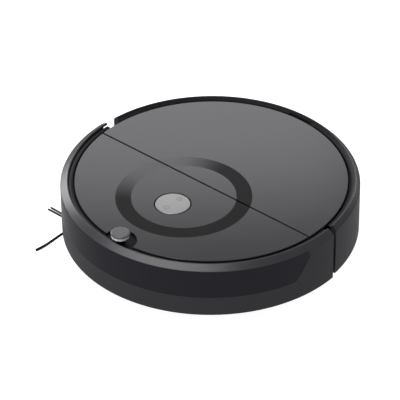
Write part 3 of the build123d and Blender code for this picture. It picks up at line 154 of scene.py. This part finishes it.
# colours and finishes by material slot: dark and light end of the colour, roughness, then what differs
FINISHES = {
    "chassis_black": (grey(0.012), grey(0.020), 0.55, {"bump": 0.25, "grain": 1500.0, "specular": 0.35}),
    "inner_black": (grey(0.008), grey(0.014), 0.5, {"bump": 0.2, "grain": 1300.0, "specular": 0.35}),
    "shell_grey": (grey(0.023), grey(0.027), 0.34, {"specular": 0.30}),
    "bumper_grey": (grey(0.023), grey(0.027), 0.32, {"specular": 0.30}),
    "plate_grey": (grey(0.048), grey(0.053), 0.22, {"spread": 0.02, "specular": 0.22, "metallic": 0.7}),
    "cap_grey": (grey(0.055), grey(0.065), 0.36, {"specular": 0.4}),
    "cover_grey": (grey(0.045), grey(0.06), 0.5, {"bump": 0.2, "grain": 1500.0, "specular": 0.4}),
    "latch_grey": (grey(0.20), grey(0.24), 0.45, {"bump": 0.15}),
    "wheel_grey": (grey(0.03), grey(0.04), 0.45, {"bump": 0.15}),
    "caster_plastic": (grey(0.02), grey(0.03), 0.4, {"bump": 0.1}),
    "button_silver": (grey(0.20), grey(0.225), 0.36, {"metallic": 0.5, "grain": 2600.0, "bump": 0.05}),
    "window_black": (grey(0.011), grey(0.013), 0.10, {"spread": 0.02, "bump": 0.0, "specular": 0.26}),
    # painted reflection: the beacon mirror is near-white with a metallic share of only 0.35, so most of its
    # brightness is painted into its colour in place of the chrome band's reflection; the metallic share gives
    # a real reflection
    "mirror_metal": (grey(0.86), grey(0.92), 0.16, {"spread": 0.04, "bump": 0.0, "metallic": 0.35}),
    "board_green": ((0.01, 0.06, 0.02, 1), (0.015, 0.09, 0.03, 1), 0.35, {}),
    "battery_wrap": ((0.01, 0.02, 0.06, 1), (0.015, 0.03, 0.08, 1), 0.3, {}),
    "motor_steel": (grey(0.35), grey(0.45), 0.3, {"metallic": 1.0, "grain": 500.0}),
    "spring_steel": (grey(0.40), grey(0.5), 0.28, {"metallic": 1.0}),
    "contact_metal": ((0.62, 0.60, 0.55, 1), (0.70, 0.68, 0.62, 1), 0.22, {"metallic": 1.0}),
    "bin_smoke": (grey(0.012), grey(0.016), 0.15, {"specular": 0.5, "bump": 0.02}),
    "filter_frame_grey": (grey(0.16), grey(0.20), 0.5, {}),
    "filter_white": ((0.62, 0.62, 0.58, 1), (0.76, 0.76, 0.72, 1), 0.9,
                     {"bump": 0.5, "grain": 2200.0, "specular": 0.2}),
    "seal_rubber": (grey(0.010), grey(0.016), 0.7, {"specular": 0.3}),
    "fin_rubber": (grey(0.035), grey(0.05), 0.6, {"bump": 0.15, "specular": 0.35}),
    "bristle_black": (grey(0.004), grey(0.007), 0.5, {"specular": 0.15}),
    "gear_white": (grey(0.60), grey(0.66), 0.4, {"specular": 0.4}),
    "tyre_black": (grey(0.012), grey(0.020), 0.8, {"bump": 0.5, "grain": 1700.0, "specular": 0.3}),
}
MATERIALS = {name: plastic(name, dark, light, roughness, **rest)
             for name, (dark, light, roughness, rest) in FINISHES.items()}


class Paint:
    """Adds darker zones to a material by where a point lies on the robot, in object coordinates."""

    def __init__(self, material):
        self.tree = material.node_tree
        self.shader = next(node for node in self.tree.nodes if node.type == "BSDF_PRINCIPLED")
        self.place = self.node("ShaderNodeTexCoord").outputs["Object"]

    def node(self, kind):
        return self.tree.nodes.new(kind)

    def link(self, source, target):
        self.tree.links.new(source, target)

    def vector(self, operation, source, value=None):
        node = self.node("ShaderNodeVectorMath")
        node.operation = operation
        self.link(source, node.inputs[0])
        if value is not None:
            node.inputs[1].default_value = value
        return node

    def flat(self, x, y):
        """Vector on the floor plan from the point (x, y), in millimetres."""
        shifted = self.vector("SUBTRACT", self.place, (x * MM, y * MM, 0.0)).outputs["Vector"]
        return self.vector("MULTIPLY", shifted, (1.0, 1.0, 0.0)).outputs["Vector"]

    def radius(self, x, y):
        return self.vector("LENGTH", self.flat(x, y)).outputs["Value"]

    def height(self):
        split = self.node("ShaderNodeSeparateXYZ")
        self.link(self.place, split.inputs[0])
        return split.outputs["Z"]

    def toward(self, x, y, azimuth):
        """Cosine of the angle between a point's direction from (x, y) and an azimuth in degrees."""
        unit = self.vector("NORMALIZE", self.flat(x, y)).outputs["Vector"]
        angle = math.radians(azimuth)
        heading = (math.cos(angle), math.sin(angle), 0.0)
        return self.vector("DOT_PRODUCT", unit, heading).outputs["Value"]

    def ramp(self, source, low, high, first, last, smooth=False):
        node = self.node("ShaderNodeMapRange")
        if smooth:
            node.interpolation_type = "SMOOTHSTEP"
        for name, value in (("From Min", low), ("From Max", high), ("To Min", first), ("To Max", last)):
            node.inputs[name].default_value = value
        self.link(source, node.inputs["Value"])
        return node.outputs["Result"]

    def math(self, operation, one, other):
        node = self.node("ShaderNodeMath")
        node.operation = operation
        self.link(one, node.inputs[0])
        self.link(other, node.inputs[1])
        return node.outputs["Value"]

    def apply(self, strength, colour, roughness, dull):
        """Blend the surface by strength towards a colour and a roughness.

        With a near-black colour, a metallic share of dull takes the surface's gloss away as well.
        """
        old_colour = self.shader.inputs["Base Color"].links[0].from_socket
        old_roughness = self.shader.inputs["Roughness"].links[0].from_socket
        paint = self.node("ShaderNodeMix")
        paint.data_type = "RGBA"
        paint.inputs[COLOUR_B].default_value = colour
        self.link(strength, paint.inputs[MIX_SHARE])
        self.link(old_colour, paint.inputs[COLOUR_A])
        self.link(paint.outputs[MIX_COLOUR], self.shader.inputs["Base Color"])
        gloss = self.node("ShaderNodeMix")
        gloss.data_type = "FLOAT"
        gloss.inputs[FLOAT_B].default_value = roughness
        self.link(strength, gloss.inputs[MIX_SHARE])
        self.link(old_roughness, gloss.inputs[FLOAT_A])
        self.link(gloss.outputs[0], self.shader.inputs["Roughness"])
        socket = self.shader.inputs["Metallic"]
        shine = self.node("ShaderNodeMix")
        shine.data_type = "FLOAT"
        shine.inputs[FLOAT_A].default_value = socket.default_value
        if socket.is_linked:
            self.link(socket.links[0].from_socket, shine.inputs[FLOAT_A])
        shine.inputs[FLOAT_B].default_value = dull
        self.link(strength, shine.inputs[MIX_SHARE])
        self.link(shine.outputs[0], socket)


# dark ring printed on the top plates, round a point ahead of the body axis; it fades on one side
BAND_X = 48.0
BAND_INNER_R, BAND_OUTER_R = 60.3 * MM, 78.3 * MM
BAND_EDGE = 0.5 * MM
BAND_FADE_AZIMUTH = -112.0
BAND_FADE_START, BAND_FADE_END = 0.35, 0.99
BAND_FADED = 0.06
INK = (0.002, 0.002, 0.0025, 1.0)
plates = Paint(MATERIALS["plate_grey"])
band_radius = plates.radius(BAND_X, 0.0)
band = plates.math("MULTIPLY",
                   plates.ramp(band_radius, BAND_INNER_R, BAND_INNER_R + BAND_EDGE, 0.0, 1.0),
                   plates.ramp(band_radius, BAND_OUTER_R, BAND_OUTER_R + BAND_EDGE, 1.0, 0.0))
fade = plates.ramp(plates.toward(BAND_X, 0.0, BAND_FADE_AZIMUTH), BAND_FADE_START, BAND_FADE_END,
                   1.0, BAND_FADED, smooth=True)
plates.apply(plates.math("MULTIPLY", band, fade), INK, 0.5, 0.75)

# painted shade: a black ring without gloss on the plate round the button, standing in for the shade in the
# gap there
BUTTON_X = 67.0
BUTTON_GAP_SHADE_R = 21.5 * MM
button_gap_shade = plates.ramp(plates.radius(BUTTON_X, 0.0), BUTTON_GAP_SHADE_R, BUTTON_GAP_SHADE_R + 0.2 * MM, 1.0, 0.0)
plates.apply(button_gap_shade, (0.001, 0.001, 0.001, 1.0), 0.6, 1.0)

# painted shade: the shell and the bumper are painted near-black and lose their gloss inside the rim round the
# plates and in the recess under their seam, where shade falls; it fades out towards the rim's crest
GROOVE_SHADE_FULL_R, GROOVE_SHADE_CLEAR_R = 160.2 * MM, 167.0 * MM
GROOVE_SHADE_LOW_Z = 74.4 * MM
# near-black colour of the painted shade in the rim's hollows
GROOVE_SHADE_BLACK = (0.0012, 0.0012, 0.0012, 1.0)
for slot in ("shell_grey", "bumper_grey"):
    shell = Paint(MATERIALS[slot])
    inside = shell.ramp(shell.radius(0.0, 0.0), GROOVE_SHADE_FULL_R, GROOVE_SHADE_CLEAR_R, 1.0, 0.0, smooth=True)
    above = shell.ramp(shell.height(), GROOVE_SHADE_LOW_Z, GROOVE_SHADE_LOW_Z + 0.2 * MM, 0.0, 1.0)
    shell.apply(shell.math("MULTIPLY", inside, above), GROOVE_SHADE_BLACK, 0.5, 1.0)

slot_of = {entry["node"]: entry["material_slot"] for entry in frame["record"]["subparts"]}
for node_name, node in nodes.items():
    finish = MATERIALS[slot_of[node_name]]
    if not node.material_slots:
        node.data.materials.append(finish)
    for holder in node.material_slots:
        holder.material = finish


# ---------------------------------------------------------------------------
# Mesh helpers, in metres
# ---------------------------------------------------------------------------
def piece_from(name, vertices, faces, slot, body, sharp_deg=35.0, replaced=()):
    """A smooth piece with sharp corners that rides on a body, and stands for the replaced nodes."""
    mesh = bpy.data.meshes.new(name)
    mesh.from_pydata([tuple(v) for v in vertices], [], faces)
    mesh.update()
    work = bmesh.new()
    work.from_mesh(mesh)
    bmesh.ops.recalc_face_normals(work, faces=work.faces)
    work.to_mesh(mesh)
    work.free()
    mesh.polygons.foreach_set("use_smooth", [True] * len(mesh.polygons))
    mesh.set_sharp_from_angle(angle=math.radians(sharp_deg))
    mesh.materials.append(MATERIALS[slot])
    piece = bpy.data.objects.new(name, mesh)
    scene.collection.objects.link(piece)
    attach(piece, body)
    if replaced:
        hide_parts(*replaced)
    return piece


UPWARD_HINT = Vector((0.13, 0.21, 0.97))


def add_tube(vertices, faces, points, radii, sides=6):
    """Add a closed tube along points; radii holds one radius for each point."""
    first = len(vertices)
    count = len(points)
    for index, point in enumerate(points):
        ahead = points[min(index + 1, count - 1)] - points[max(index - 1, 0)]
        ahead.normalize()
        across = ahead.cross(UPWARD_HINT)
        if across.length < 0.05:
            across = ahead.cross(Vector((1, 0, 0)))
        across.normalize()
        other = ahead.cross(across)
        for side in range(sides):
            angle = 2 * math.pi * side / sides
            vertices.append(point + (across * math.cos(angle) + other * math.sin(angle)) * radii[index])
    for index in range(count - 1):
        low = first + index * sides
        for side in range(sides):
            after = (side + 1) % sides
            faces.append((low + side, low + after, low + sides + after, low + sides + side))
    last = first + (count - 1) * sides
    faces.append(tuple(first + side for side in reversed(range(sides))))
    faces.append(tuple(last + side for side in range(sides)))


def add_lathe(vertices, faces, profile, x, y, sides):
    """Add a closed turned solid about an upright axis; profile is (radius, z), with both ends on the axis."""
    rings = []
    for radius, z in profile:
        if radius == 0.0:
            rings.append([len(vertices)])
            vertices.append(Vector((x, y, z)))
        else:
            rings.append(list(range(len(vertices), len(vertices) + sides)))
            for side in range(sides):
                angle = 2 * math.pi * side / sides
                vertices.append(Vector((x + radius * math.cos(angle), y + radius * math.sin(angle), z)))
    for low, high in zip(rings, rings[1:]):
        for side in range(sides):
            ahead = (side + 1) % sides
            if len(low) == 1:
                faces.append((low[0], high[side], high[ahead]))
            elif len(high) == 1:
                faces.append((low[side], low[ahead], high[0]))
            else:
                faces.append((low[side], low[ahead], high[ahead], high[side]))


def middle_of(node_name):
    """The middle of a CAD node's box."""
    low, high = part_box(node_name)
    return (low + high) / 2


# ---------------------------------------------------------------------------
# Side brush: bundles of nylon filaments. Lengths here are in millimetres from the hub's middle.
# ---------------------------------------------------------------------------
ARM_COUNT = 5
FIRST_ARM_AZIMUTH = -21.1
ARM_TIP_R = 71.7
ROOT_START, ROOT_FLAT, ROOT_Z = 11.6, 12.0, 6.2
# distance from the hub's middle and radius of the rubber root that holds the bundles
ROOT_SHAPE = ((11.6, 2.0), (13.0, 2.1), (16.0, 2.0), (20.0, 1.8), (22.4, 1.3))
FILAMENT_START = 20.5
FILAMENTS_PER_BUNDLE = 24
FILAMENT_STEPS = 12
BUNDLE_R = 1.10
GOLDEN_TURN = 2.4
FILAMENT_R, FILAMENT_TIP_R = 0.24 * MM, 0.15 * MM
LOWEST_FILAMENT_Z = 1.15
# how far each arm bows sideways, and how far apart its two bundles lie
ARM_BOW = (-14.0, 1.0, -1.2, 1.2, 1.8)
ARM_SPREAD = (0.75, 1.7, 1.6, 1.8, 2.0)


def arm_bow(arm, along):
    """Sideways offset of an arm's middle line: it swings out early and comes back towards the tip."""
    share = min(1.0, max(0.0, (along - ROOT_START) / (ARM_TIP_R - ROOT_START)))
    return ARM_BOW[arm] * math.sin(math.pi * share ** 0.5) * (1.0 - share) ** 0.6


def side_brush_mesh(dice):
    vertices, faces = [], []
    hub = middle_of("side_brush_hub")
    centre = Vector((hub.x, hub.y, 0))
    for arm in range(ARM_COUNT):
        azimuth = math.radians(FIRST_ARM_AZIMUTH + 360.0 / ARM_COUNT * arm)
        outward = Vector((math.cos(azimuth), math.sin(azimuth), 0))
        sideways = Vector((-math.sin(azimuth), math.cos(azimuth), 0))

        def arm_point(along, offset, height):
            return centre + (outward * along + sideways * offset + Vector((0, 0, height))) * MM

        root = [arm_point(along, arm_bow(arm, along), ROOT_Z - 0.05 * (along - ROOT_FLAT))
                for along, _ in ROOT_SHAPE]
        add_tube(vertices, faces, root, [radius * MM for _, radius in ROOT_SHAPE], sides=12)
        for bundle in (-1, 1):
            for filament in range(FILAMENTS_PER_BUNDLE):
                turn = GOLDEN_TURN * filament
                inside = BUNDLE_R * math.sqrt((filament + 0.3) / FILAMENTS_PER_BUNDLE)
                points = []
                for step in range(FILAMENT_STEPS):
                    share = step / (FILAMENT_STEPS - 1)
                    reach = ARM_TIP_R - 0.5 - FILAMENT_START - dice.random() * 0.9 * share
                    along = FILAMENT_START + reach * share
                    flare = 1.0 + 0.25 * share * share
                    offset = (bundle * ARM_SPREAD[arm] * (0.75 + 0.35 * share) + arm_bow(arm, along)
                              + inside * math.cos(turn) * flare)
                    height = 6.0 - 4.1 * share ** 0.85 + inside * math.sin(turn) * (1.0 - 0.2 * share)
                    points.append(arm_point(along, offset, max(LOWEST_FILAMENT_Z, height)))
                radii = [FILAMENT_R] * (FILAMENT_STEPS - 1) + [FILAMENT_TIP_R]
                add_tube(vertices, faces, points, radii, sides=5)
    return vertices, faces


# ---------------------------------------------------------------------------
# Main brush: rows of bristles that twist along each half, in millimetres from the axle
# ---------------------------------------------------------------------------
BRISTLE_ROWS = 3
TUFTS_PER_ROW = 38
BRISTLES_PER_TUFT = 5
ROW_START, ROW_LENGTH = 0.6, 74.4
FIRST_Y, LAST_Y = 0.3, 75.4
HALF_LENGTH = 75.3
ROW_TWIST = 50.0
BRISTLE_FOOT_R = 8.6
BRISTLE_TIP_R = (16.9, 17.85)
BRISTLE_RADII = [0.17 * MM, 0.16 * MM, 0.12 * MM]


def main_brush_mesh(dice):
    vertices, faces = [], []
    core = middle_of("brush_core")
    axle = Vector((core.x, 0, core.z))

    def bristle_point(azimuth, radius, y):
        return axle + Vector((math.cos(azimuth) * radius, y, -math.sin(azimuth) * radius)) * MM

    for half in (-1, 1):
        for row in range(BRISTLE_ROWS):
            for tuft in range(TUFTS_PER_ROW):
                along = ROW_START + (tuft + 0.5) / TUFTS_PER_ROW * ROW_LENGTH
                azimuth = math.radians(90.0 + 360.0 / BRISTLE_ROWS * row + ROW_TWIST * along / HALF_LENGTH)
                for _ in range(BRISTLES_PER_TUFT):
                    lean = dice.uniform(-0.07, 0.07)
                    slip = dice.uniform(-0.9, 0.9)
                    tip_r = dice.uniform(*BRISTLE_TIP_R)
                    foot = bristle_point(azimuth + lean * 0.4, BRISTLE_FOOT_R, half * (along + slip * 0.4))
                    tip_y = half * min(LAST_Y, max(FIRST_Y, along + slip))
                    tip = bristle_point(azimuth + lean, tip_r, tip_y)
                    add_tube(vertices, faces, [foot, (foot + tip) / 2, tip], BRISTLE_RADII, sides=4)
    return vertices, faces


# ---------------------------------------------------------------------------
# Bumper return springs
# ---------------------------------------------------------------------------
SPRING_COIL_R, SPRING_WIRE_R = 3.4 * MM, 0.66 * MM
SPRING_CAD_WIRE_R = 0.7 * MM
SPRING_TURNS, STEPS_PER_TURN = 8, 18
SPRING_FLAT_END, SPRING_RISING = 0.11, 0.78


def spring_mesh():
    vertices, faces = [], []
    low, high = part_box("bumper_springs")
    spring_y = high.y - SPRING_COIL_R - SPRING_CAD_WIRE_R
    spring_z = (low.z + high.z) / 2
    start = low.x + SPRING_WIRE_R
    length = high.x - SPRING_WIRE_R - start
    steps = SPRING_TURNS * STEPS_PER_TURN
    for side in (-1, 1):
        points = []
        for step in range(steps + 1):
            share = step / steps
            # about the first and the last turn lie flat, as on a ground spring
            rise = min(1.0, max(0.0, (share - SPRING_FLAT_END) / SPRING_RISING))
            angle = 2 * math.pi * SPRING_TURNS * share
            points.append(Vector((start + length * rise,
                                  side * spring_y + SPRING_COIL_R * math.cos(angle),
                                  spring_z + SPRING_COIL_R * math.sin(angle))))
        add_tube(vertices, faces, points, [SPRING_WIRE_R] * len(points), sides=8)
    return vertices, faces


# ---------------------------------------------------------------------------
# Beacon: bright reflector band with twelve shallow flutes; part of its brightness is painted reflection in
# its near-white finish
# ---------------------------------------------------------------------------
REFLECTOR_SIDES = 120
REFLECTOR_PROFILE = ((0.0, 84.2), (5.9, 84.2), (9.3, 84.3), (10.1, 84.6), (10.5, 85.1), (10.7, 86.0),
                     (10.75, 87.4), (10.7, 88.1), (10.4, 88.2), (0.0, 88.2))
FLUTES, FLUTE_DEPTH = 12, 0.035
FLUTED_FROM_R, FLUTED_TO_Z = 6.5 * MM, 87.9 * MM


def reflector_mesh():
    vertices, faces = [], []
    beacon_x = middle_of("beacon_cap").x
    profile = [(radius * MM, z * MM) for radius, z in REFLECTOR_PROFILE]
    add_lathe(vertices, faces, profile, beacon_x, 0.0, REFLECTOR_SIDES)
    for vertex in vertices:
        from_axis = vertex.x - beacon_x
        if math.hypot(vertex.y, from_axis) > FLUTED_FROM_R and vertex.z < FLUTED_TO_Z:
            angle = math.atan2(vertex.y, from_axis)
            pinch = 1.0 - FLUTE_DEPTH * (0.5 + 0.5 * math.cos(FLUTES * angle)) ** 3
            vertex.x = beacon_x + from_axis * pinch
            vertex.y *= pinch
    return vertices, faces


# ---------------------------------------------------------------------------
# Button: two slightly raised line icons, a house and a broken ring, in millimetres from its middle
# ---------------------------------------------------------------------------
LINE_R = 0.275 * MM
LINE_SUNK = 0.14 * MM
BUTTON_R, BUTTON_CROWN = 19.0, 0.2 * MM
RING_X, RING_R = 10.6, 3.1
HOUSE_X = -11.4
STEPS_PER_LINE = 4


def icon_mesh():
    vertices, faces = [], []
    button = middle_of("rocker_cap")
    button_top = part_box("rocker_cap")[1].z

    def on_button(x, y):
        fall = BUTTON_CROWN * math.hypot(x, y) / BUTTON_R
        return Vector((button.x + x * MM, y * MM, button_top - fall - LINE_SUNK))

    def stroke(corners):
        line = []
        for (x0, y0), (x1, y1) in zip(corners, corners[1:]):
            for step in range(STEPS_PER_LINE):
                share = step / STEPS_PER_LINE
                line.append(on_button(x0 + (x1 - x0) * share, y0 + (y1 - y0) * share))
        line.append(on_button(*corners[-1]))
        add_tube(vertices, faces, line, [LINE_R] * len(line))

    ring_angles = [math.radians(degrees) for degrees in range(35, 326, 15)]
    stroke([(RING_X + RING_R * math.cos(angle), RING_R * math.sin(angle)) for angle in ring_angles])
    stroke([(RING_X + 0.6, 0.0), (RING_X + 3.6, 0.0)])
    house = [(3.2, 0.0), (0.6, 3.1), (-2.7, 2.5), (-2.7, -2.5), (0.6, -3.1), (3.2, 0.0)]
    stroke([(HOUSE_X + x, y) for x, y in house])
    stroke([(HOUSE_X - 2.7, 0.0), (HOUSE_X - 0.6, 0.0)])
    return vertices, faces


# ---------------------------------------------------------------------------
# The pieces; both brushes draw from one row of random numbers, the side brush first
# ---------------------------------------------------------------------------
dice = random.Random(7)
side_filaments = piece_from("side_brush_filaments", *side_brush_mesh(dice), "bristle_black", "side_brush",
                            replaced=("side_brush_bristles",))
side_filaments.visible_glossy = False
piece_from("main_brush_filaments", *main_brush_mesh(dice), "bristle_black", "main_brush",
           replaced=("brush_bristles",))
springs = piece_from("bumper_return_springs", *spring_mesh(), "spring_steel", "base", sharp_deg=60.0,
                     replaced=("bumper_springs",))
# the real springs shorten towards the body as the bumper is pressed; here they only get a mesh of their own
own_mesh(springs)
piece_from("beacon_reflector", *reflector_mesh(), "mirror_metal", "base", sharp_deg=50.0,
           replaced=("beacon_mirror",))
piece_from("button_icons", *icon_mesh(), "chassis_black", "rocker")

# ---------------------------------------------------------------------------
# Floor, world and lights
# ---------------------------------------------------------------------------
FLOOR_REACH = 12.0
FLOOR_CLEARANCE = 0.3 * MM
corners = [(x * FLOOR_REACH, y * FLOOR_REACH, 0) for x, y in ((-1, -1), (1, -1), (1, 1), (-1, 1))]
floor_mesh = bpy.data.meshes.new("floor")
floor_mesh.from_pydata(corners, [], [(0, 1, 2, 3)])
floor = bpy.data.objects.new("floor", floor_mesh)
scene.collection.objects.link(floor)
floor.location.z = -FLOOR_CLEARANCE
floor_material, _, floor_shader = new_material("floor_paper")
floor_shader.inputs["Base Color"].default_value = (0.45, 0.45, 0.45, 1)
floor_shader.inputs["Roughness"].default_value = 0.9
floor_shader.inputs["Specular IOR Level"].default_value = 0.1
floor_shader.inputs["Emission Color"].default_value = (1, 1, 1, 1)
floor_shader.inputs["Emission Strength"].default_value = 0.95
floor.data.materials.append(floor_material)
# the walls of the robot do not mirror the bright floor
floor.visible_glossy = False

world = bpy.data.worlds.new("world")
scene.world = world
world.use_nodes = True
sky = world.node_tree.nodes["Background"]
sky.inputs["Color"].default_value = (1, 1, 1, 1)
sky.inputs["Strength"].default_value = 0.30


# directions on the floor: towards the camera, and to the left of its picture
near = Vector((back.x, back.y, 0)).normalized()
left = -right
LIGHT_AIM = Vector((0, 0, 0.08))


def softbox(name, toward_camera, toward_left, height, size, size_y, radiance):
    """Rectangular studio light aimed at the robot, given by its brightness."""
    data = bpy.data.lights.new(name, "AREA")
    data.shape = "RECTANGLE"
    data.size = size
    data.size_y = size_y
    data.energy = radiance * math.pi * size * size_y
    light = bpy.data.objects.new(name, data)
    scene.collection.objects.link(light)
    light.location = near * toward_camera + left * toward_left + Vector((0, 0, height))
    direction = (LIGHT_AIM - light.location).normalized()
    light.rotation_euler = direction.to_track_quat("-Z", "Y").to_euler()
    light.visible_camera = False


softbox("overhead", 0.24, 0.46, 1.38, 1.10, 1.0, 7.0)
softbox("far_panel", -0.80, 0.03, 0.46, 0.52, 0.40, 2.7)
softbox("far_left_panel", -0.73, 0.72, 0.46, 0.42, 0.42, 10.5)
softbox("far_right_panel", -0.73, -0.74, 0.40, 0.42, 0.42, 4.0)
